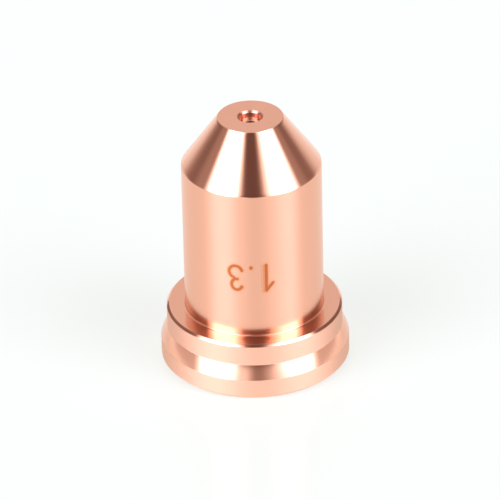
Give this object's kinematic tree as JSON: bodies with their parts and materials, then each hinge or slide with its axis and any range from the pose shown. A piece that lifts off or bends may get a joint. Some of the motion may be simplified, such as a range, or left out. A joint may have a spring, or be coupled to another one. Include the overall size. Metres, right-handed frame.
{
  "type": "plasma torch nozzle",
  "caption": "Turned copper nozzle for a plasma cutting torch: flanged base, straight barrel and conical tip with a fine orifice.",
  "frame": {"origin": "centre of the base face, the flat annulus that the nozzle stands on", "axes": "+Z along the axis from the base to the tip; +X and +Y are free, because everything is turned about Z"},
  "size_m": [0.022, 0.022, 0.0313],
  "materials": {
    "copper": "bright fine-turned copper"
  },
  "bodies": {
    "root": {"nozzle": "copper"}
  },
  "joints": []
}
